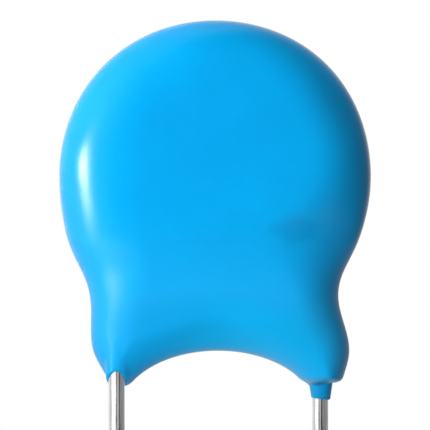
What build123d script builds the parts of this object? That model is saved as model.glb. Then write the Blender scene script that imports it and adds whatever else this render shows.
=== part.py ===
"""Ceramic disc capacitor: a dip-coated disc with two radial leads, in millimetres.

The frame has +Z up, +X along the lead pitch and the front face towards -Y. The origin is midway
between the leads on the seating plane, where the coating on the rear lead ends and a board begins.
"""

import os
from math import sqrt

from build123d import *

# Leads: tinned wire, the front one at -X and the rear one at +X
lead_diameter = 0.6
lead_pitch = 7.5
lead_length = 5.0
lead_bend_radius = 1.2
lead_knee_height = 3.3
lead_end_gap = 0.35
lead_end_rise = 0.9

# Ceramic disc and its two silver electrodes
ceramic_diameter = 9.6
ceramic_thickness = 1.5
ceramic_edge_chamfer = 0.12
electrode_margin = 0.5
electrode_thickness = 0.05
disc_height = 8.28
disc_shift = -0.14

# Solder joints between the leads and the electrodes
solder_film = 0.05
solder_cover = 0.12
solder_width = 1.9
solder_length = 3.6
solder_draft = 25.0

# Coating: wall over the rim of the ceramic disc and over the leads, and how far in from the outline
# the faces start to round over
coat_rim = 0.94
coat_face = 0.4
edge_reach = 3.0

# Coating: outline in the front view, measured from the lead axes and the seating plane
left_flank_drop = 7.0
right_flank_drop = 6.3
flank_shares = (0.24, 0.42)
left_waist_cover = 1.157
left_waist_height = 4.457
left_neck_cover = 0.94
left_neck_height = 3.25
left_lobe_cover = 0.95
left_lobe_height = 2.4
left_ankle_cover = 0.512
left_ankle_height = 1.14
right_neck_cover = 0.645
right_neck_height = 3.9
right_lobe_cover = 1.05
right_lobe_height = 1.9
right_ankle_cover = 0.83
right_ankle_height = 0.92
foot_height = 0.6
foot_outer_cover = 0.4
foot_inner_cover = 0.55
arch_height = 1.88
arch_land = 1.8
arch_flare = 1.5
arch_flare_reach = 1.96

# Coating: shoulder below which the edges tighten, and skirt that thins to a foot round each lead
shoulder_height = 7.6
skirt_height = 3.0
foot_half_thickness = 1.1
foot_edge_reach = 0.6
foot_aside = 0.4
foot_edge_chamfer = 0.12
section_shares = (0, 0.01, 0.18, 0.36, 0.52, 0.66, 0.8, 0.91, 1)

# Coating: sleeve that ran down the rear lead
sleeve_film = 0.05
sleeve_root_film = 0.17
sleeve_overlap = 0.4

# Sizes that follow from the ones above
lead_radius = lead_diameter / 2
lead_x = lead_pitch / 2
ceramic_radius = ceramic_diameter / 2
electrode_radius = ceramic_radius - electrode_margin
electrode_face = ceramic_thickness / 2 + electrode_thickness
lead_offset = electrode_face + solder_film + lead_radius
body_radius = ceramic_radius + coat_rim
body_half_thickness = lead_offset + lead_radius + coat_face
solder_height = 2 * solder_film + lead_diameter + solder_cover
arch_half_span = lead_x - foot_inner_cover
arch_rise = arch_height - foot_height
arch_radius = (arch_half_span**2 + arch_rise**2) / (2 * arch_rise)

FRONT, REAR = 1, -1


def face_plane(side, depth):
    """Plane parallel to the disc, depth away from its middle towards the front or the rear."""
    return Plane.XZ.offset(side * depth)


def lead_points(side):
    """Tip, seat on the board, knee and inner end of a lead, in its own face plane."""
    across = -side
    tip = (across * lead_x, -lead_length)
    seat = (across * lead_x, 0)
    knee = (across * lead_x, lead_knee_height)
    end = (disc_shift + across * lead_end_gap, disc_height + lead_end_rise)
    return tip, seat, knee, end


def make_lead(side):
    """Wire that comes up from the board, bends at the knee and leans in across the electrode."""
    tip, seat, knee, end = lead_points(side)
    with BuildPart() as lead:
        with BuildLine(face_plane(side, lead_offset)) as bare_end:
            Line(tip, seat)
        with BuildLine(face_plane(side, lead_offset)) as covered_run:
            FilletPolyline(seat, knee, end, radius=lead_bend_radius)
        path = Wire([*bare_end.edges(), *covered_run.edges()])
        with BuildSketch(Plane(path @ 0, z_dir=path % 0)):
            Circle(lead_radius)
        # The seam at the seat stays, so that the bare end below it is a face of its own
        sweep(path=path, clean=False)
    return lead


def make_electrode(side):
    """Silver layer on one face of the ceramic disc."""
    with BuildPart() as electrode:
        with BuildSketch(face_plane(side, ceramic_thickness / 2)):
            with Locations((disc_shift, disc_height)):
                Circle(electrode_radius)
        extrude(amount=side * electrode_thickness)
    return electrode


def make_solder(side, lead):
    """Loaf of solder along the leaning part of a lead, standing on the electrode."""
    tip, seat, knee, end = lead_points(side)
    lean = Vector(*end) - Vector(*knee)
    middle = Vector(*end) - lean.normalized() * (solder_length / 2)
    angle = Vector(1, 0).get_signed_angle(lean, Vector(0, 0, 1))
    with BuildPart() as solder:
        with BuildSketch(face_plane(side, electrode_face)):
            with Locations((middle.X, middle.Y)):
                SlotOverall(solder_length + solder_width, solder_width, rotation=angle)
        extrude(amount=side * solder_height, taper=solder_draft)
        add(lead.part, mode=Mode.SUBTRACT)
    return solder


# Ceramic disc
with BuildPart() as ceramic_disc:
    with BuildSketch(Plane.XZ):
        with Locations((disc_shift, disc_height)):
            Circle(ceramic_radius)
    extrude(amount=ceramic_thickness / 2, both=True)
    chamfer(ceramic_disc.edges().filter_by(GeomType.CIRCLE), length=ceramic_edge_chamfer)

# Electrodes, leads and solder joints
front_electrode = make_electrode(FRONT)
rear_electrode = make_electrode(REAR)
front_lead = make_lead(FRONT)
rear_lead = make_lead(REAR)
front_solder = make_solder(FRONT, front_lead)
rear_solder = make_solder(REAR, rear_lead)


def flank_points(across, drop):
    """Points down the flank below the disc's equator, on an ellipse as wide as the body."""
    reaches = [body_radius * sqrt(1 - share**2) for share in flank_shares]
    heights = [disc_height - drop * share for share in flank_shares]
    return [(disc_shift + across * reach, height) for reach, height in zip(reaches, heights)]


# Outline of the coating in the front view, from the equator of the disc down to the soles
with BuildSketch(Plane.XZ) as outline:
    with BuildLine():
        left_flank = Spline(
            (disc_shift - body_radius, disc_height),
            *flank_points(-1, left_flank_drop),
            (-lead_x - left_waist_cover, left_waist_height),
            (-lead_x - left_neck_cover, left_neck_height),
            (-lead_x - left_lobe_cover, left_lobe_height),
            (-lead_x - left_ankle_cover, left_ankle_height),
            (-lead_x - foot_outer_cover, foot_height),
            tangents=((0, -1), (1, -3)),
        )
        right_flank = Spline(
            (disc_shift + body_radius, disc_height),
            *flank_points(1, right_flank_drop),
            (lead_x + right_neck_cover, right_neck_height),
            (lead_x + right_lobe_cover, right_lobe_height),
            (lead_x + right_ankle_cover, right_ankle_height),
            (lead_x + foot_outer_cover, foot_height),
            tangents=((0, -1), (-2, -1)),
        )
        Line(left_flank @ 0, right_flank @ 0)
        Line(left_flank @ 1, right_flank @ 1)
    make_face()


def reach_at(height):
    """Left and right reach of the outline at a height."""
    if height == disc_height:
        return disc_shift - body_radius, disc_shift + body_radius
    if height == foot_height:
        return -lead_x - foot_outer_cover, lead_x + foot_outer_cover
    level = Edge.make_line((-2 * lead_pitch, 0, height), (2 * lead_pitch, 0, height))
    ends = sorted(vertex.X for vertex in (level & outline.sketch.face()).vertices())
    return ends[0], ends[-1]


def smooth_step(value):
    """0 up to 0, 1 from 1 on, with no kink between."""
    held = min(max(value, 0), 1)
    return held * held * (3 - 2 * held)


def section_ends(height):
    """Centres of the round ends of a level section, how far they reach in, and half its thickness."""
    tightening = smooth_step((shoulder_height - height) / (shoulder_height - foot_height))
    thinning = smooth_step((skirt_height - height) / (skirt_height - foot_height))
    inward = edge_reach + (foot_edge_reach - edge_reach) * tightening
    half = body_half_thickness + (foot_half_thickness - body_half_thickness) * thinning
    aside = foot_aside * thinning
    left, right = reach_at(height)
    return (left + inward, -aside), (right - inward, aside), inward, half


# Coating
with BuildPart() as epoxy_coating:
    # Lower half: level sections that part into a foot over each lead
    for share in section_shares:
        height = disc_height + (foot_height - disc_height) * share
        left_centre, right_centre, inward, half = section_ends(height)
        with BuildSketch(Plane.XY.offset(height)):
            with BuildLine():
                left_rear = EllipticalCenterArc(left_centre, inward, half, 90, arc_size=90)
                left_front = EllipticalCenterArc(left_centre, inward, half, 180, arc_size=90)
                right_front = EllipticalCenterArc(right_centre, inward, half, -90, arc_size=90)
                right_rear = EllipticalCenterArc(right_centre, inward, half, 0, arc_size=90)
                Spline(left_front @ 1, right_front @ 0, tangents=((1, 0), (1, 0)))
                Spline(right_rear @ 1, left_rear @ 0, tangents=((-1, 0), (-1, 0)))
            make_face()
    loft()

    # Upper half: the round rim turned about the disc's axis
    with BuildSketch(Plane.XY.offset(disc_height)):
        rim_x = disc_shift + body_radius - edge_reach
        with BuildLine():
            front_rim = EllipticalCenterArc((rim_x, 0), edge_reach, body_half_thickness, -90, arc_size=90)
            rear_rim = EllipticalCenterArc((rim_x, 0), edge_reach, body_half_thickness, 0, arc_size=90)
            Polyline(
                rear_rim @ 1,
                (disc_shift, body_half_thickness),
                (disc_shift, -body_half_thickness),
                front_rim @ 0,
            )
        make_face()
    revolve(axis=Axis((disc_shift, 0, disc_height), (0, -1, 0)), revolution_arc=180)

    # Arch between the feet, cut by a spool that flares towards both faces
    with BuildSketch(Plane.XY.offset(arch_height - arch_radius)):
        with BuildLine():
            Polyline(
                (0, -arch_flare_reach),
                (arch_radius + arch_flare, -arch_flare_reach),
                (arch_radius, -arch_land / 2),
                (arch_radius, arch_land / 2),
                (arch_radius + arch_flare, arch_flare_reach),
                (0, arch_flare_reach),
                close=True,
            )
        make_face()
    spool_axis = Axis((0, 0, arch_height - arch_radius), (0, 1, 0))
    revolve(axis=spool_axis, mode=Mode.SUBTRACT)
    soles = epoxy_coating.faces().filter_by(Plane.XY).group_by(Axis.Z)[0]
    chamfer(soles.edges(), length=foot_edge_chamfer)

    # Sleeve on the rear lead
    with Locations((lead_x, lead_offset, 0)):
        Cone(
            lead_radius + sleeve_film,
            lead_radius + sleeve_root_film,
            foot_height + sleeve_overlap,
            align=(Align.CENTER, Align.CENTER, Align.MIN),
        )

    # Room for everything the coating was dipped over
    for piece in (ceramic_disc, front_electrode, rear_electrode):
        add(piece.part, mode=Mode.SUBTRACT)
    for piece in (front_solder, rear_solder, front_lead, rear_lead):
        add(piece.part, mode=Mode.SUBTRACT)

# Export
os.makedirs("parts", exist_ok=True)
epoxy_coating.part.label = "epoxy_coating"
export_step(epoxy_coating.part, "parts/epoxy_coating.step")
ceramic_disc.part.label = "ceramic_disc"
export_step(ceramic_disc.part, "parts/ceramic_disc.step")
front_electrode.part.label = "front_electrode"
export_step(front_electrode.part, "parts/front_electrode.step")
rear_electrode.part.label = "rear_electrode"
export_step(rear_electrode.part, "parts/rear_electrode.step")
front_solder.part.label = "front_solder"
export_step(front_solder.part, "parts/front_solder.step")
rear_solder.part.label = "rear_solder"
export_step(rear_solder.part, "parts/rear_solder.step")
front_lead.part.label = "front_lead"
export_step(front_lead.part, "parts/front_lead.step")
rear_lead.part.label = "rear_lead"
export_step(rear_lead.part, "parts/rear_lead.step")
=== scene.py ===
"""Ceramic disc capacitor: dipped coating, tinned leads and a plain studio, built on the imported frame.

Shapes are worked out in millimetres in the frame's axes and written to meshes in metres.
"""

import math

import bpy
import numpy as np
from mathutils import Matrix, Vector


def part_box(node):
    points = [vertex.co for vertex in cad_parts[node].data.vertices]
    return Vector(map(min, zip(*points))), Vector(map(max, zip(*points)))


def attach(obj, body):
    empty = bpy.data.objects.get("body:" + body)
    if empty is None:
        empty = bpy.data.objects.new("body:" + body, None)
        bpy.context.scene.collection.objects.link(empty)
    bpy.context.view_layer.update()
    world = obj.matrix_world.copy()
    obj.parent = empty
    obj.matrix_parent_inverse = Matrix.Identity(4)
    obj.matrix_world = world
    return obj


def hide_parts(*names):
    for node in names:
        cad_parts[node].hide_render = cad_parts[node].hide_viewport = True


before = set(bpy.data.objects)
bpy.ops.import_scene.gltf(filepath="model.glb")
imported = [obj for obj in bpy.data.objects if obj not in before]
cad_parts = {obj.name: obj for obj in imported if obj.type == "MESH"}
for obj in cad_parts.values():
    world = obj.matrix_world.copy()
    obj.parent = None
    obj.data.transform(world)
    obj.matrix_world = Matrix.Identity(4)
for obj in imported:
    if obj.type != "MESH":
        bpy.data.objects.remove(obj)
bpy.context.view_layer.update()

MM = 0.001


# Sizes read from the frame, in millimetres


def box_mm(node):
    """Lowest and highest corner of a CAD node."""
    low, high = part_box(node)
    return np.array(low) / MM, np.array(high) / MM


def edge_points(node):
    """First and second end of every edge of a CAD node's mesh."""
    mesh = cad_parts[node].data
    points = np.empty(3 * len(mesh.vertices))
    mesh.vertices.foreach_get("co", points)
    ends = np.empty(2 * len(mesh.edges), int)
    mesh.edges.foreach_get("vertices", ends)
    placed = points.reshape(-1, 3)[ends.reshape(-1, 2)] / MM
    return placed[:, 0], placed[:, 1]


def slice_points(edges, height):
    """Points where a mesh's edges cross a level."""
    first, second = edges
    crossing = (first[:, 2] - height) * (second[:, 2] - height) < 0
    start, end = first[crossing], second[crossing]
    share = (height - start[:, 2]) / (end[:, 2] - start[:, 2])
    return start + (end - start) * share[:, None]


# From the ceramic to the face of the coating, over the electrode and the lead
FACE_COVER = 1.1

coat_low, coat_high = box_mm("epoxy_coating")
disc_low, disc_high = box_mm("ceramic_disc")
front_low, front_high = box_mm("front_lead")
rear_low, rear_high = box_mm("rear_lead")
disc_x = (coat_low[0] + coat_high[0]) / 2
disc_z = (disc_low[2] + disc_high[2]) / 2
body_radius = coat_high[2] - disc_z
half_thickness = disc_high[1] + FACE_COVER
lead_radius = (front_high[1] - front_low[1]) / 2
front_axis = (front_low[0] + lead_radius, front_low[1] + lead_radius)
rear_axis = (rear_high[0] - lead_radius, rear_low[1] + lead_radius)
tip_z = front_low[2]

# Sizes of the coating, in millimetres: how far from an edge the rounding of a face begins
LEFT_EDGE_REACH, RIGHT_EDGE_REACH = 3.0, 2.2
LEFT_LEG_REACH, RIGHT_LEG_REACH, REAR_LEG_REACH = 1.8, 1.5, 1.2
LEFT_FOOT_REACH, RIGHT_FOOT_REACH = 0.8, 0.7
ARCH_REACH, SOLE_REACH = 1.25, 0.34

# Below the disc's right side the rounding begins further in, seen as a darker patch
PATCH_REACH, PATCH_Z, PATCH_HEIGHT = 1.4, 6.1, 1.1

# Half thickness of each foot and how far it stands in front of or behind the disc's middle
LEFT_FOOT_HALF, RIGHT_FOOT_HALF = 1.1, 1.35
LEFT_FOOT_Y, RIGHT_FOOT_Y = -0.4, 0.3

# Heights where the edges tighten, where the legs begin and are formed, and of the soles
SHOULDER_Z, SKIRT_Z, LEG_Z, FOOT_Z = 6.6, 4.3, 2.8, 0.55

# How far the soles rise for each millimetre to the right
SOLE_TILT = 0.024

# Opening between the feet: top of an ellipse, with its half width and half height
ARCH_X, ARCH_Z, ARCH_HALF_SPAN, ARCH_DEPTH = -0.05, 1.85, 3.6, 2.25

# Powers of the curve that rounds a face over at an edge, and of the one that joins two edges
EDGE_POWER, CORNER_POWER = 2.1, 4.0

# Outline of the coating below its equator: heights, and the reach at each
LEFT_FLANK = (
    (6.6, -5.72), (5.56, -5.43), (4.46, -4.91), (3.6, -4.72),
    (2.6, -4.71), (1.8, -4.6), (1.15, -4.27),
)
RIGHT_FLANK = (
    (6.6, 5.37), (5.56, 4.99), (4.6, 4.53), (3.9, 4.4),
    (3.2, 4.51), (2.3, 4.76), (1.7, 4.8), (1.1, 4.66),
)

# How much further than a circle the disc reaches between its top and its sides, as a share
LEFT_SHOULDER_SHARE, RIGHT_SHOULDER_SHARE = 0.0085, 0.0145


def flank_curve(points, side):
    """Cubic through a flank's points that leaves the equator upright, as heights, reaches and bends."""
    height, reach = np.array([(disc_z, disc_x + side * body_radius), *points])[::-1].T
    count = len(height)
    gap = np.diff(height)
    slope = np.diff(reach) / gap
    terms, sums = np.zeros((count, count)), np.zeros(count)
    terms[0, 0] = 1
    for i in range(1, count - 1):
        terms[i, i - 1:i + 2] = gap[i - 1], 2 * (gap[i - 1] + gap[i]), gap[i]
        sums[i] = 6 * (slope[i] - slope[i - 1])
    terms[-1, -2:] = gap[-1], 2 * gap[-1]
    sums[-1] = -6 * slope[-1]
    return height, reach, np.linalg.solve(terms, sums)


left_curve, right_curve = flank_curve(LEFT_FLANK, -1), flank_curve(RIGHT_FLANK, 1)


# Coating as an implicit surface: negative inside, about a distance in millimetres near it

# Added to what is divided by, so that it is never zero
TINY = 1e-9


def smooth_step(value):
    """0 up to 0, 1 from 1 on, with no kink between."""
    held = np.clip(value, 0, 1)
    return held * held * (3 - 2 * held)


def soft_max(a, b, width):
    """Larger of two fields, rounded over where they are closer than the width."""
    near = np.maximum(width - np.abs(a - b), 0) / width
    return np.maximum(a, b) + near * near * width / 4


def soft_min(a, b, width):
    """Smaller of two fields, rounded in the same way."""
    return -soft_max(-a, -b, width)


def reach_at(curve, z):
    """Reach of a flank and its slope at a height, carried on in a straight line below its lowest point."""
    height, reach, bend = curve
    i = np.clip(np.searchsorted(height, z) - 1, 0, len(height) - 2)
    gap = height[i + 1] - height[i]
    along = np.clip(z, height[0], height[-1]) - height[i]
    start = (reach[i + 1] - reach[i]) / gap - gap * (2 * bend[i] + bend[i + 1]) / 6
    twist = (bend[i + 1] - bend[i]) / gap
    value = reach[i] + along * (start + along * (bend[i] / 2 + along * twist / 6))
    slope = start + along * (bend[i] + along * twist / 2)
    return value + slope * np.minimum(z - height[0], 0), slope


def edges_in(x, z):
    """How far inside the outline of the front view a point lies, from its left and from its right."""
    left, left_slope = reach_at(left_curve, z)
    right, right_slope = reach_at(right_curve, z)
    from_left = (x - left) / np.hypot(1, left_slope)
    from_right = (right - x) / np.hypot(1, right_slope)
    across, up = x - disc_x, z - disc_z
    away = np.hypot(across, up) + TINY
    share = np.where(across < 0, LEFT_SHOULDER_SHARE, RIGHT_SHOULDER_SHARE)
    inside = body_radius * (1 + share * (2 * across * up / away**2) ** 2) - away
    upper = z >= disc_z
    return np.where(upper, inside, from_left), np.where(upper, inside, from_right)


def between(share, first, last):
    """Value that goes from the first to the last as the share goes from 0 to 1."""
    return first + (last - first) * share


def from_ellipse(x, z):
    """About how far outside the ellipse of the arch a point lies."""
    size = np.hypot(x / ARCH_HALF_SPAN, z / ARCH_DEPTH) + TINY
    return size * (size - 1) / (np.hypot(x / ARCH_HALF_SPAN**2, z / ARCH_DEPTH**2) + TINY)


def body_field(x, y, z):
    """Disc and skirt: faces that round over towards the outline, the arch and the soles of two feet."""
    to_right = smooth_step((x - front_axis[0]) / (rear_axis[0] - front_axis[0]))
    to_leg = smooth_step((SHOULDER_Z - z) / (SHOULDER_Z - LEG_Z))
    to_foot = smooth_step((LEG_Z - z) / (LEG_Z - FOOT_Z))
    thinning = smooth_step((SKIRT_Z - z) / (SKIRT_Z - FOOT_Z))
    half = between(thinning, half_thickness, between(to_right, LEFT_FOOT_HALF, RIGHT_FOOT_HALF))
    middle = thinning * between(to_right, LEFT_FOOT_Y, RIGHT_FOOT_Y)

    rim_reach = between(to_right, LEFT_EDGE_REACH, RIGHT_EDGE_REACH)
    right_leg = np.where(y < middle, RIGHT_LEG_REACH, REAR_LEG_REACH)
    left_reach = between(to_foot, between(to_leg, rim_reach, LEFT_LEG_REACH), LEFT_FOOT_REACH)
    right_reach = between(to_foot, between(to_leg, rim_reach, right_leg), RIGHT_FOOT_REACH)
    right_reach = right_reach + PATCH_REACH * np.exp(-(((z - PATCH_Z) / PATCH_HEIGHT) ** 2))
    from_left, from_right = edges_in(x, z)
    from_arch = from_ellipse(x - ARCH_X, z - ARCH_Z + ARCH_DEPTH)
    from_sole = z - FOOT_Z - SOLE_TILT * x
    side = np.maximum(1 - from_left / left_reach, 1 - from_right / right_reach)
    parts = side, 1 - from_arch / ARCH_REACH, 1 - from_sole / SOLE_REACH
    edge = sum(np.maximum(part, 0) ** CORNER_POWER for part in parts) ** (1 / CORNER_POWER)
    face = np.abs(y - middle) / half
    return half * ((edge**EDGE_POWER + face**EDGE_POWER) ** (1 / EDGE_POWER) - 1)


# Film on the front lead: thickness, heights of its top and of its end at the lead's front and back,
# rounding where it joins the coating, and rounding of the end's peak as a share of half a turn
FILM = 0.09
FILM_TOP_Z, FILM_FRONT_Z, FILM_BACK_Z = 2.2, 1.14, 0.42
FILM_ROUND, PEAK_ROUND_SHARE = 0.16, 0.06


def film_field(x, y, z):
    """Coating drawn down the front lead, its end falling from the lead's front to its back."""
    across, back = x - front_axis[0], y - front_axis[1]
    turn = np.hypot(np.arctan2(across, -back) / np.pi, PEAK_ROUND_SHARE) - PEAK_ROUND_SHARE
    end = between(turn, FILM_FRONT_Z, FILM_BACK_Z)
    taper = FILM * smooth_step((FILM_TOP_Z - z) / (FILM_TOP_Z - FILM_FRONT_Z))
    away = np.hypot(across, back) - lead_radius
    return np.maximum(np.maximum(away - taper, end - z), z - FILM_TOP_Z)


# Sleeve on the rear lead: thickness at its end and at its root, height of the root, slant of the end,
# shift to the right, and rounding where its outer and its inner side join the coating
SLEEVE_FILM, SLEEVE_ROOT_FILM, SLEEVE_TOP_Z = 0.045, 0.19, 1.0
SLEEVE_TILT, SLEEVE_ASIDE = 0.12, 0.025
SLEEVE_ROUND, SLEEVE_INNER_ROUND = 0.1, 0.9


def sleeve_field(x, y, z):
    """Coating that ran down the rear lead to the seating plane, ending on a slant."""
    away = np.hypot(x - rear_axis[0] - SLEEVE_ASIDE, y - rear_axis[1]) - lead_radius
    film = between(np.clip(z / SLEEVE_TOP_Z, 0, 1), SLEEVE_FILM, SLEEVE_ROOT_FILM)
    end = SLEEVE_TILT * (rear_axis[0] + lead_radius + SLEEVE_FILM - x)
    return np.maximum(soft_max(away - film, end - z, SLEEVE_FILM), z - SLEEVE_TOP_Z)


# Slow unevenness of a dipped surface: waves per millimetre along X and Z, and phase
RIPPLES = ((0.31, 0.17, 0.4), (-0.19, 0.27, 2.2), (0.12, -0.36, 4.1))
RIPPLE_DEPTH = 0.006

# Shares of the half thickness between which the unevenness comes in, from the middle to a face
UNEVEN_SHARES = (0.25, 0.75)

# Web between the legs, where the coating is a little thinner: its middle, where the thinning is full,
# how far it spreads and how deep it is
WEB_X, WEB_Z, WEB_WIDTH, WEB_DEPTH = 0.1, 2.0, 1.9, 0.3


def uneven(x, y, z):
    """How far the real surface sinks below the plain form."""
    inner, outer = UNEVEN_SHARES
    on_face = smooth_step((np.abs(y) / half_thickness - inner) / (outer - inner))
    web = np.exp(-(((x - WEB_X) / WEB_WIDTH) ** 2)) * smooth_step((SKIRT_Z - z) / (SKIRT_Z - WEB_Z))
    sunk = WEB_DEPTH * web * on_face
    for along_x, along_z, phase in RIPPLES:
        wave = 1 + np.sin(2 * np.pi * (along_x * x + along_z * z) + phase + y)
        sunk = sunk + RIPPLE_DEPTH * on_face * wave
    return sunk


def coating_field(points):
    """Whole coating: the uneven body with the film and the sleeve that ran down the leads."""
    x, y, z = points[..., 0], points[..., 1], points[..., 2]
    body = body_field(x, y, z) + uneven(x, y, z)
    body = soft_min(body, film_field(x, y, z), FILM_ROUND)
    inward = smooth_step((rear_axis[0] + lead_radius - x) / (2 * lead_radius))
    return soft_min(body, sleeve_field(x, y, z), between(inward, SLEEVE_ROUND, SLEEVE_INNER_ROUND))


# Meshing of the implicit surface, and the size of the cells in it
CELL = 0.075


def corner_views(grid):
    """The eight corners of every cell of a grid, with their offsets."""
    for i in (0, 1):
        for j in (0, 1):
            for k in (0, 1):
                ends = [slice(o, n - 1 + o) for o, n in zip((i, j, k), grid.shape)]
                yield (i, j, k), grid[tuple(ends)]


def surface_net(field, low, high, cell):
    """Vertices and quads of a field's zero surface, one vertex in each cell that it crosses."""
    counts = np.ceil((high - low) / cell).astype(int) + 1
    axes = [low[a] + cell * np.arange(counts[a]) for a in range(3)]
    grid = field(np.stack(np.meshgrid(*axes, indexing="ij"), axis=-1))
    inside = sum((corner < 0).astype(int) for _, corner in corner_views(grid))
    crossed = (inside > 0) & (inside < 8)
    number = np.full(crossed.shape, -1)
    number[crossed] = np.arange(crossed.sum())
    corners = {offset: corner[crossed] for offset, corner in corner_views(grid)}

    # Each vertex starts at the middle of the crossings on its cell's edges
    total = np.zeros((crossed.sum(), 3))
    crossings = np.zeros(crossed.sum())
    for start, value in corners.items():
        for axis in range(3):
            if start[axis] == 1:
                continue
            end = tuple(1 if a == axis else start[a] for a in range(3))
            hit = (value < 0) != (corners[end] < 0)
            share = np.where(hit, value / np.where(hit, value - corners[end], 1), 0)
            place = np.repeat(np.array(start, float)[None], len(value), axis=0)
            place[:, axis] += share
            total += place * hit[:, None]
            crossings += hit
    vertices = low + cell * (np.argwhere(crossed) + total / crossings[:, None])

    # Each crossed edge of the grid gives a quad through the four cells around it
    quads = []
    for axis in range(3):
        others = [a for a in range(3) if a != axis]
        near = [slice(1, -1)] * 3
        near[axis] = slice(0, -1)
        far = list(near)
        far[axis] = slice(1, None)
        a_in, b_in = grid[tuple(near)] < 0, grid[tuple(far)] < 0
        for mask, turned in ((a_in & ~b_in, axis == 1), (~a_in & b_in, axis != 1)):
            at = np.argwhere(mask)
            at[:, others] += 1
            ring = []
            for du, dv in ((-1, -1), (0, -1), (0, 0), (-1, 0)):
                cell_at = at.copy()
                cell_at[:, others[0]] += du
                cell_at[:, others[1]] += dv
                ring.append(number[tuple(cell_at.T)])
            quad = np.stack(ring, axis=1)
            quads.append(quad[:, ::-1] if turned else quad)
    return vertices, np.concatenate(quads)


def settle(field, vertices, rounds=4, probe=0.01, least_steep=0.05):
    """Vertices moved onto the field's zero surface along its slope."""
    for _ in range(rounds):
        value = field(vertices)
        slope = np.zeros_like(vertices)
        for axis in range(3):
            ahead, behind = vertices.copy(), vertices.copy()
            ahead[:, axis] += probe
            behind[:, axis] -= probe
            slope[:, axis] = (field(ahead) - field(behind)) / (2 * probe)
        steep = np.maximum((slope**2).sum(axis=1), least_steep)
        vertices = vertices - slope * (value / steep)[:, None]
    return vertices


def mesh_object(name, vertices, faces):
    """Smooth-shaded object from points in millimetres."""
    mesh = bpy.data.meshes.new(name)
    mesh.from_pydata((np.asarray(vertices) * MM).tolist(), [], [list(map(int, f)) for f in faces])
    mesh.validate()
    mesh.shade_smooth()
    made = bpy.data.objects.new(name, mesh)
    bpy.context.scene.collection.objects.link(made)
    return made


# Leads: round wire along the CAD lead's own axis, with a tip that is a little rounded
WIRE_SIDES = 48
WIRE_STEP = 0.2
TIP_ROUND = 0.05


def lead_axis(node):
    """Points along the middle of a lead, from its tip to its inner end."""
    low, high = box_mm(node)
    heights = np.arange(low[2] + WIRE_STEP, high[2] - 2 * lead_radius, WIRE_STEP)
    edges = edge_points(node)
    rings = [slice_points(edges, height) for height in heights]
    points = [(ring.min(axis=0) + ring.max(axis=0)) / 2 for ring in rings]
    tip = points[0].copy()
    tip[2] = low[2]
    lean = points[-1] - points[-2]
    lean /= np.linalg.norm(lean)
    end = points[-1] + lean * (high[2] - points[-1][2] - lead_radius * math.hypot(*lean[:2])) / lean[2]
    return np.array([tip, *points, end])


def make_lead(name, node):
    """Wire swept along the axis of a CAD lead."""
    axis = lead_axis(node)
    along = np.gradient(axis, axis=0)
    along /= np.linalg.norm(along, axis=1)[:, None]
    across = np.cross(np.tile([0.0, 1.0, 0.0], (len(axis), 1)), along)
    across /= np.linalg.norm(across, axis=1)[:, None]
    outward = np.cross(along, across)
    angles = np.arange(WIRE_SIDES) * 2 * np.pi / WIRE_SIDES
    circle = np.cos(angles)[:, None, None] * across + np.sin(angles)[:, None, None] * outward
    rings = (axis + lead_radius * circle).transpose(1, 0, 2)
    tip = axis[0] + (rings[0] - axis[0]) * (1 - TIP_ROUND / lead_radius)
    rounded = rings[0] + (0, 0, TIP_ROUND)
    rings = np.concatenate([tip[None], rounded[None], rings[1:]])
    vertices = rings.reshape(-1, 3)
    faces = []
    for ring in range(len(rings) - 1):
        for side in range(WIRE_SIDES):
            after = (side + 1) % WIRE_SIDES
            low, high = ring * WIRE_SIDES, (ring + 1) * WIRE_SIDES
            faces.append((low + side, low + after, high + after, high + side))
    faces.append(tuple(range(WIRE_SIDES))[::-1])
    faces.append(tuple(range((len(rings) - 1) * WIRE_SIDES, len(rings) * WIRE_SIDES)))
    return mesh_object(name, vertices, faces)


# Materials

# Share of a spot that is its heart, and size of what makes its edge ragged
HEART_SHARE, RAGGED_SIZE = 0.3, 0.7

# Places of the colour sockets among a Mix node's inputs and outputs
MIX_FIRST, MIX_LAST, MIX_RESULT = 6, 7, 2


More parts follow.
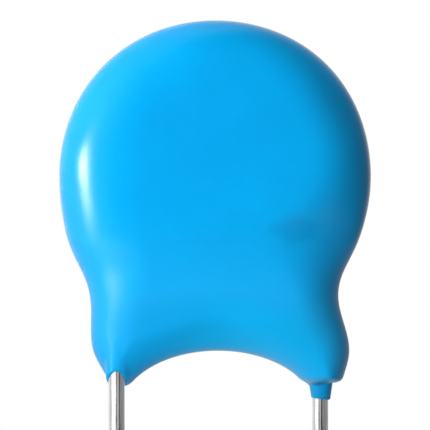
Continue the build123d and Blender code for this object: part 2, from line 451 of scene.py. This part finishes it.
class Nodes:
    """Shorthand for building a material's node tree."""

    def __init__(self, name):
        self.material = bpy.data.materials.new(name)
        self.material.use_nodes = True
        self.tree = self.material.node_tree
        self.shader = self.tree.nodes["Principled BSDF"]
        self.place = self.add("ShaderNodeTexCoord").outputs["Object"]

    def add(self, kind, **inputs):
        node = self.tree.nodes.new(kind)
        for name, value in inputs.items():
            node.inputs[name.replace("_", " ")].default_value = value
        return node

    def link(self, output, target):
        self.tree.links.new(output, target)

    def noise(self, size, detail=2.0, stretch=None):
        """Noise whose blotches are about size millimetres across, stretched along an axis if asked."""
        node = self.add("ShaderNodeTexNoise", Scale=1 / (size * MM), Detail=detail)
        if stretch:
            mapping = self.add("ShaderNodeMapping", Scale=stretch)
            self.link(self.place, mapping.inputs["Vector"])
            self.link(mapping.outputs["Vector"], node.inputs["Vector"])
        else:
            self.link(self.place, node.inputs["Vector"])
        return node.outputs["Fac"]

    def ramp(self, value, low, high, low_at=0.3, high_at=0.7):
        """Colour that goes from low to high as a value goes from low_at to high_at."""
        node = self.add("ShaderNodeValToRGB")
        first, last = node.color_ramp.elements
        first.position, first.color = low_at, (*low, 1)
        last.position, last.color = high_at, (*high, 1)
        self.link(value, node.inputs["Fac"])
        return node.outputs["Color"]

    def spread(self, value, low, high):
        """A value from 0 to 1 carried to a range."""
        node = self.add("ShaderNodeMapRange", To_Min=low, To_Max=high)
        self.link(value, node.inputs["Value"])
        return node.outputs["Result"]

    def fade(self, value, start, end, first=0.0, last=1.0):
        """First up to the start, last from the end on, with no kink between."""
        node = self.add("ShaderNodeMapRange", From_Min=start, From_Max=end, To_Min=first, To_Max=last)
        node.interpolation_type = "SMOOTHSTEP"
        self.link(value, node.inputs["Value"])
        return node.outputs["Result"]

    def near(self, middle, half, ragged=0.0):
        """1 in the heart of an ellipsoid in millimetres, 0 past its surface, which may be ragged."""
        scale = tuple(1 / (reach * MM) for reach in half)
        shift = tuple(-at / reach for at, reach in zip(middle, half))
        mapping = self.add("ShaderNodeMapping", Location=shift, Scale=scale)
        self.link(self.place, mapping.inputs["Vector"])
        away = self.add("ShaderNodeVectorMath")
        away.operation = "LENGTH"
        self.link(mapping.outputs["Vector"], away.inputs[0])
        how_far = away.outputs["Value"]
        if ragged:
            strayed = self.add("ShaderNodeMath")
            self.link(how_far, strayed.inputs[0])
            self.link(self.spread(self.noise(RAGGED_SIZE), -ragged, ragged), strayed.inputs[1])
            how_far = strayed.outputs["Value"]
        return self.fade(how_far, HEART_SHARE, 1.0, 1.0, 0.0)

    def blend(self, share, first, last):
        """Colour that goes from the first to the last as the share goes from 0 to 1."""
        node = self.add("ShaderNodeMix")
        node.data_type = "RGBA"
        self.link(share, node.inputs["Factor"])
        self.link(first, node.inputs[MIX_FIRST])
        self.link(last, node.inputs[MIX_LAST])
        return node.outputs[MIX_RESULT]

    def bump(self, value, height, under=None):
        """Relief of a height in millimetres, over another one if given."""
        node = self.add("ShaderNodeBump", Distance=height * MM, Strength=1.0)
        self.link(value, node.inputs["Height"])
        if under is not None:
            self.link(under, node.inputs["Normal"])
        return node.outputs["Normal"]


# Blues of the coating, each from the darker to the lighter of its mottling, and the mottling's size
BODY_BLUES = (0.0005, 0.374, 0.82), (0.0005, 0.4, 0.865)
# The skirt's paler blues are painted light, for the light that the skirt catches
SKIRT_PAINTED_LIGHT_BLUES = (0.0005, 0.46, 0.93), (0.0005, 0.49, 0.97)
# Blues of a darker spot on the front, right of the middle
DARK_SPOT_BLUES = (0.0005, 0.325, 0.72), (0.0005, 0.345, 0.76)
MOTTLE_SIZE = 2.2

# Paler spot over the skirt, which is painted light, and a darker spot on the front: middle, half sizes and
# raggedness
SKIRT_PAINTED_LIGHT, SKIRT_PAINTED_LIGHT_HALF = (1.1, 0.0, 2.2), (5.0, 4.0, 3.2)
DARK_SPOT, DARK_SPOT_HALF, DARK_SPOT_RAGGED = (2.8, -1.7, 6.25), (1.2, 0.9, 0.7), 0.6

# Roughness of the gloss and size of its grain, and how much rougher the legs are, between two heights
GLOSS_ROUGHNESS, GLOSS_GRAIN = (0.16, 0.27), 0.012
LEG_DULLING, DULL_Z, GLOSSY_Z = 0.21, 3.6, 7.2

# Relief of the coating, slow waves and orange peel: size and height
WAVE_SIZE, WAVE_HEIGHT = 0.55, 0.004
PEEL_SIZE, PEEL_HEIGHT = 0.11, 0.0014


def coating_material():
    """Blue dipped epoxy: slow mottling, orange peel, a paler skirt that is painted light, and a gloss that
    dulls on the legs.
    """
    made = Nodes("coating")
    shader = made.shader
    mottle = made.noise(MOTTLE_SIZE, detail=3.0)
    body, skirt, dark_spot_blue = (made.ramp(mottle, *blues) for blues in (BODY_BLUES, SKIRT_PAINTED_LIGHT_BLUES, DARK_SPOT_BLUES))
    # Painted light: the skirt is made paler where it catches more light
    colour = made.blend(made.near(SKIRT_PAINTED_LIGHT, SKIRT_PAINTED_LIGHT_HALF), body, skirt)
    # Darker spot on the front, right of the middle, with a ragged edge
    colour = made.blend(made.near(DARK_SPOT, DARK_SPOT_HALF, DARK_SPOT_RAGGED), colour, dark_spot_blue)
    made.link(colour, shader.inputs["Base Color"])
    height = made.add("ShaderNodeSeparateXYZ")
    made.link(made.place, height.inputs["Vector"])
    dull = made.fade(height.outputs["Z"], DULL_Z * MM, GLOSSY_Z * MM, LEG_DULLING, 0.0)
    rough = made.add("ShaderNodeMath")
    made.link(made.spread(made.noise(GLOSS_GRAIN, detail=1.0), *GLOSS_ROUGHNESS), rough.inputs[0])
    made.link(dull, rough.inputs[1])
    made.link(rough.outputs["Value"], shader.inputs["Roughness"])
    waves = made.bump(made.noise(WAVE_SIZE, detail=1.0), WAVE_HEIGHT)
    peel = made.bump(made.noise(PEEL_SIZE), PEEL_HEIGHT, under=waves)
    made.link(peel, shader.inputs["Normal"])
    return made.material


# Wire: greys from dull to bright, draw lines with their stretch along it, and a fine grain
WIRE_GREYS = (0.6, 0.605, 0.61), (0.84, 0.84, 0.835)
WIRE_ROUGHNESS = (0.07, 0.14)
LINE_SIZE, LINE_HEIGHT, LINE_STRETCH = 0.07, 0.002, (1.0, 1.0, 0.06)
WIRE_GRAIN, WIRE_GRAIN_HEIGHT = 0.1, 0.0006


def wire_material():
    """Hot-tinned wire: bright, with faint draw lines along it and a fine grain."""
    made = Nodes("tinned_wire")
    shader = made.shader
    shader.inputs["Metallic"].default_value = 1.0
    lines = made.noise(LINE_SIZE, detail=3.0, stretch=LINE_STRETCH)
    grain = made.noise(WIRE_GRAIN, detail=3.0)
    made.link(made.ramp(lines, *WIRE_GREYS), shader.inputs["Base Color"])
    made.link(made.spread(grain, *WIRE_ROUGHNESS), shader.inputs["Roughness"])
    drawn = made.bump(lines, LINE_HEIGHT)
    made.link(made.bump(grain, WIRE_GRAIN_HEIGHT, under=drawn), shader.inputs["Normal"])
    return made.material


# Ceramic: browns, roughness, and size and height of its speckles
CERAMIC_BROWNS, CERAMIC_ROUGHNESS = ((0.47, 0.34, 0.23), (0.6, 0.47, 0.34)), (0.6, 0.8)
SPECKLE_SIZE, SPECKLE_HEIGHT = 0.15, 0.004


def ceramic_material():
    """Fired ceramic: pale brown, matt, finely speckled."""
    made = Nodes("ceramic")
    speckle = made.noise(SPECKLE_SIZE, detail=4.0)
    made.link(made.ramp(speckle, *CERAMIC_BROWNS), made.shader.inputs["Base Color"])
    made.link(made.spread(speckle, *CERAMIC_ROUGHNESS), made.shader.inputs["Roughness"])
    made.link(made.bump(speckle, SPECKLE_HEIGHT), made.shader.inputs["Normal"])
    return made.material


# Inner metals: greys, size of the clouds and roughness of each, and the height of their grain
SILVER = (0.72, 0.7, 0.66), (0.84, 0.82, 0.78), 0.3, (0.35, 0.5)
SOLDER = (0.5, 0.5, 0.5), (0.66, 0.66, 0.67), 0.5, (0.3, 0.45)
METAL_GRAIN_HEIGHT = 0.003


def metal_material(name, low, high, size, roughness):
    """Satin metal with a cloudy grain: fired silver paste or set solder."""
    made = Nodes(name)
    cloud = made.noise(size, detail=4.0)
    made.shader.inputs["Metallic"].default_value = 1.0
    made.link(made.ramp(cloud, low, high), made.shader.inputs["Base Color"])
    made.link(made.spread(cloud, *roughness), made.shader.inputs["Roughness"])
    made.link(made.bump(cloud, METAL_GRAIN_HEIGHT), made.shader.inputs["Normal"])
    return made.material


def dress(piece, material):
    """Gives a piece one material."""
    piece.data.materials.clear()
    piece.data.materials.append(material)


# Pieces that stand for CAD nodes, the coating meshed with a margin of three cells
MARGIN = 3 * CELL
net_points, net_quads = surface_net(coating_field, coat_low - MARGIN, coat_high + MARGIN, CELL)
coating = mesh_object("coating", settle(coating_field, net_points), net_quads)
dress(coating, coating_material())
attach(coating, "root")
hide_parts("epoxy_coating")

wire = wire_material()
for name, node in (("front_wire", "front_lead"), ("rear_wire", "rear_lead")):
    lead = make_lead(name, node)
    dress(lead, wire)
    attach(lead, "root")
    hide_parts(node)

# CAD nodes that stay, inside the coating
silver = metal_material("silver", *SILVER)
solder = metal_material("solder", *SOLDER)
dress(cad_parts["ceramic_disc"], ceramic_material())
for side in ("front", "rear"):
    dress(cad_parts[side + "_electrode"], silver)
    dress(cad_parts[side + "_solder"], solder)


# Camera: level, square to the disc's front face, with the width that the picture shows at the disc
FRAME_WIDTH = 15.84
CAMERA_DISTANCE = 220.0
LOOK_X, LOOK_Z = -0.143, 6.85
SENSOR_WIDTH = 36.0
CLIP_NEAR, CLIP_FAR = 1.0, 10000.0

camera_data = bpy.data.cameras.new("camera")
camera = bpy.data.objects.new("camera", camera_data)
bpy.context.scene.collection.objects.link(camera)
camera.location = Vector((LOOK_X, -CAMERA_DISTANCE, LOOK_Z)) * MM
camera.rotation_euler = (math.radians(90), 0, 0)
camera_data.sensor_width = SENSOR_WIDTH
camera_data.lens = SENSOR_WIDTH * CAMERA_DISTANCE / FRAME_WIDTH
camera_data.clip_start, camera_data.clip_end = CLIP_NEAR * MM, CLIP_FAR * MM
bpy.context.scene.camera = camera


# Floor: a round pale plate that fades to the white of the background
FLOOR_RADIUS = 30.0
FLOOR_SIDES = 96
FLOOR_FADE_SHARES = (0.55, 0.98)
FLOOR_GREYS, FLOOR_CLOUD = ((0.8, 0.8, 0.8), (0.83, 0.83, 0.83)), 6.0
FLOOR_ROUGHNESS, FLOOR_SPECULAR = 0.8, 0.2


def floor_material():
    """Matt pale grey that the camera sees turn white towards the plate's rim."""
    made = Nodes("floor")
    tree, shader = made.tree, made.shader
    tint = made.ramp(made.noise(FLOOR_CLOUD), *FLOOR_GREYS)
    made.link(tint, shader.inputs["Base Color"])
    shader.inputs["Roughness"].default_value = FLOOR_ROUGHNESS
    shader.inputs["Specular IOR Level"].default_value = FLOOR_SPECULAR
    white = made.add("ShaderNodeEmission", Strength=1.0)
    distance = made.add("ShaderNodeVectorMath")
    distance.operation = "LENGTH"
    made.link(made.place, distance.inputs[0])
    start, end = (FLOOR_RADIUS * share * MM for share in FLOOR_FADE_SHARES)
    seen = made.add("ShaderNodeMath")
    seen.operation = "MULTIPLY"
    made.link(made.fade(distance.outputs["Value"], start, end), seen.inputs[0])
    made.link(made.add("ShaderNodeLightPath").outputs["Is Camera Ray"], seen.inputs[1])
    mix = made.add("ShaderNodeMixShader")
    made.link(seen.outputs["Value"], mix.inputs["Fac"])
    made.link(shader.outputs["BSDF"], mix.inputs[1])
    made.link(white.outputs["Emission"], mix.inputs[2])
    made.link(mix.outputs["Shader"], tree.nodes["Material Output"].inputs["Surface"])
    return made.material


turn = np.arange(FLOOR_SIDES) * 2 * np.pi / FLOOR_SIDES
rim = np.stack([np.cos(turn), np.sin(turn), np.zeros(FLOOR_SIDES)], axis=1) * FLOOR_RADIUS
floor = mesh_object("floor", rim, [tuple(range(FLOOR_SIDES))])
floor.location.z = tip_z * MM
dress(floor, floor_material())

# The floor takes the object's shadow, and neither shows in the object nor throws light on it
floor.visible_glossy = False
floor.visible_diffuse = False


# Light: softboxes at an azimuth to the left of the camera and an elevation above level, in degrees


def softbox(
    name, azimuth, elevation, distance, width, height, level, glossy=False, aim_z=disc_z, beam=None
):
    """Area lamp aimed at a height. Level 1 alone would show a facing colour as it is written.

    A beam, in degrees, narrows the lamp as a grid does, so that its light keeps to its own width
    and height.
    """
    data = bpy.data.lights.new(name, "AREA")
    data.shape = "RECTANGLE"
    data.size, data.size_y = width * MM, height * MM
    data.energy = level * (math.pi * distance * MM) ** 2
    if beam:
        data.energy = level * math.pi * width * height * MM**2
        data.spread = math.radians(beam)
    data.cycles.use_multiple_importance_sampling = glossy
    lamp = bpy.data.objects.new(name, data)
    bpy.context.scene.collection.objects.link(lamp)
    aside, above = math.radians(azimuth), math.radians(elevation)
    flat = math.cos(above)
    away = Vector((-math.sin(aside) * flat, -math.cos(aside) * flat, math.sin(above)))
    lamp.location = (Vector((disc_x, 0, aim_z)) + away * distance) * MM
    lamp.rotation_euler = away.to_track_quat("Z", "Y").to_euler()
    lamp.visible_camera = False
    lamp.visible_glossy = glossy


# Key: two gridded lamps that light the disc and fall off across the legs
for key_name, key_elevation in (("key_high", 5.0), ("key_low", -1.5)):
    softbox(
        key_name, azimuth=61, elevation=key_elevation, distance=54, width=30, height=30,
        level=0.33, glossy=True, aim_z=19.5, beam=20,
    )

# Fill from the side, front, top, back and below
softbox("side", azimuth=78, elevation=12, distance=130, width=60, height=90, level=0.42)
softbox("broad", azimuth=26, elevation=8, distance=130, width=80, height=110, level=0.12)
softbox("top", azimuth=30, elevation=65, distance=130, width=90, height=90, level=0.5)
softbox("rear", azimuth=160, elevation=12, distance=130, width=80, height=110, level=0.75)
softbox("bounce", azimuth=25, elevation=-30, distance=130, width=90, height=60, level=0.05)
softbox("low", azimuth=14, elevation=-25, distance=17, width=14, height=8, level=0.86, aim_z=3.0)

# Low white cards beside the leads, for them to reflect
softbox(
    "card_left", azimuth=42, elevation=0, distance=22, width=22, height=3.4,
    level=0.069, glossy=True, aim_z=-0.7,
)
softbox(
    "card_front", azimuth=-8, elevation=0, distance=22, width=12, height=3.4,
    level=0.0155, glossy=True, aim_z=-0.7,
)
softbox(
    "card_right", azimuth=-80, elevation=0, distance=16, width=32, height=2.8,
    level=0.028, glossy=True, aim_z=-0.5,
)

# Brightness that reflections see at an azimuth to the left of the camera, in degrees
AROUND = (
    (-180, 1.0), (-150, 0.6), (-125, 0.2), (-100, 0.08), (-40, 0.03), (-15, 0.0),
    (25, 0.0), (45, 0.3), (60, 0.7), (100, 0.75), (120, 1.0), (180, 1.0),
)

# Sines of the heights between which that brightness falls overhead, and the share that is left there
OVERHEAD_START, OVERHEAD_END, OVERHEAD_SHARE = 0.35, 0.95, 0.6

# Brightness of the world as light on dull surfaces
AMBIENT = 0.13


def studio_world():
    """White to the camera. Reflections see white behind the object, pale at the left, dark elsewhere."""
    world = bpy.data.worlds.new("studio")
    world.use_nodes = True
    world.cycles.sampling_method = "NONE"
    tree = world.node_tree
    tree.nodes.clear()
    output = tree.nodes.new("ShaderNodeOutputWorld")
    path = tree.nodes.new("ShaderNodeLightPath")

    def background(level):
        node = tree.nodes.new("ShaderNodeBackground")
        node.inputs["Color"].default_value = (level, level, level, 1)
        return node

    def choose(switch, off, on):
        mix = tree.nodes.new("ShaderNodeMixShader")
        tree.links.new(switch, mix.inputs["Fac"])
        tree.links.new(off, mix.inputs[1])
        tree.links.new(on, mix.inputs[2])
        return mix.outputs["Shader"]

    def math_node(operation, first, second):
        node = tree.nodes.new("ShaderNodeMath")
        node.operation = operation
        for socket, value in zip(node.inputs, (first, second)):
            if isinstance(value, (int, float)):
                socket.default_value = value
            else:
                tree.links.new(value, socket)
        return node.outputs["Value"]

    white, ambient, around = background(1), background(AMBIENT), background(1)
    place = tree.nodes.new("ShaderNodeTexCoord")
    split = tree.nodes.new("ShaderNodeSeparateXYZ")
    tree.links.new(place.outputs["Generated"], split.inputs["Vector"])
    to_left = math_node("MULTIPLY", split.outputs["X"], -1)
    to_camera = math_node("MULTIPLY", split.outputs["Y"], -1)
    turn = math_node("DIVIDE", math_node("ARCTAN2", to_left, to_camera), 2 * math.pi)
    ramp = tree.nodes.new("ShaderNodeValToRGB")
    tree.links.new(math_node("ADD", turn, 0.5), ramp.inputs["Fac"])
    ramp.color_ramp.elements.remove(ramp.color_ramp.elements[0])
    for number, (azimuth, level) in enumerate(AROUND):
        at = azimuth / 360 + 0.5
        stops = ramp.color_ramp.elements
        stop = stops[0] if number == 0 else stops.new(at)
        stop.position, stop.color = at, (level, level, level, 1)
    tree.links.new(ramp.outputs["Color"], around.inputs["Color"])
    overhead = tree.nodes.new("ShaderNodeMapRange")
    overhead.inputs["From Min"].default_value = OVERHEAD_START
    overhead.inputs["From Max"].default_value = OVERHEAD_END
    overhead.inputs["To Min"].default_value = 1.0
    overhead.inputs["To Max"].default_value = OVERHEAD_SHARE
    tree.links.new(split.outputs["Z"], overhead.inputs["Value"])
    tree.links.new(overhead.outputs["Result"], around.inputs["Strength"])
    shown = choose(path.outputs["Is Glossy Ray"], ambient.outputs[0], around.outputs[0])
    shown = choose(path.outputs["Is Transmission Ray"], shown, around.outputs[0])
    shown = choose(path.outputs["Is Camera Ray"], shown, white.outputs[0])
    tree.links.new(shown, output.inputs["Surface"])
    bpy.context.scene.world = world


studio_world()
bpy.context.scene.view_settings.view_transform = "Standard"
